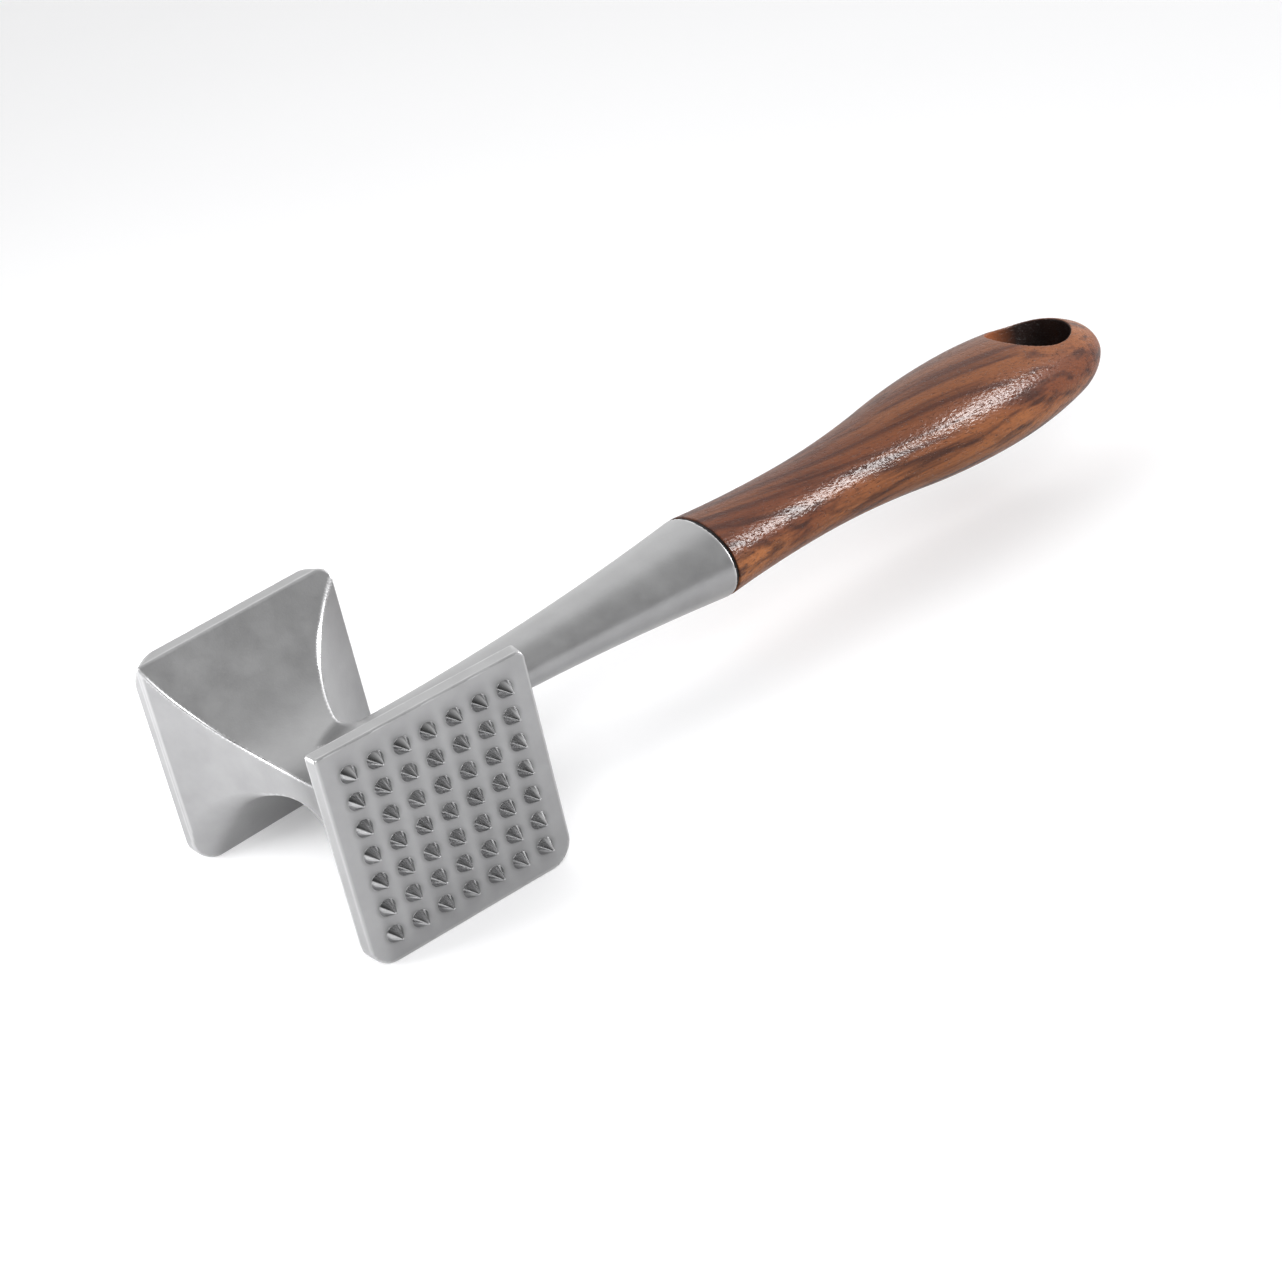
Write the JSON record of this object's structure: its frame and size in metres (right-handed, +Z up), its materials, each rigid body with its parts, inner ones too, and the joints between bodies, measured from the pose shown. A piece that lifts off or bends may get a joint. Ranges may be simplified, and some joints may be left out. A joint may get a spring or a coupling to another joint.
{
  "type": "meat mallet",
  "caption": "Two-faced meat mallet: a waisted cast head with a spiked face and a smooth face, an oval neck and a shaped wooden grip with a hanging eye.",
  "frame": {"origin": "centre of the smooth striking face", "axes": "+X along the grip from the head to the butt; +Y out of the smooth face, which leans 2.15 degrees off it; +Z up, along the hanging eye"},
  "size_m": [0.2606, 0.0811, 0.052],
  "materials": {
    "cast_metal": "satin as-cast grey with polished ridges",
    "spacer": "matt black",
    "stud_steel": "plain zinc-plated steel",
    "grip_wood": "red-brown hardwood under a semi-gloss lacquer"
  },
  "bodies": {
    "root": {"head_casting": "cast_metal", "joint_spacer": "spacer", "threaded_stud": "stud_steel", "wooden_grip": "grip_wood"}
  },
  "joints": []
}
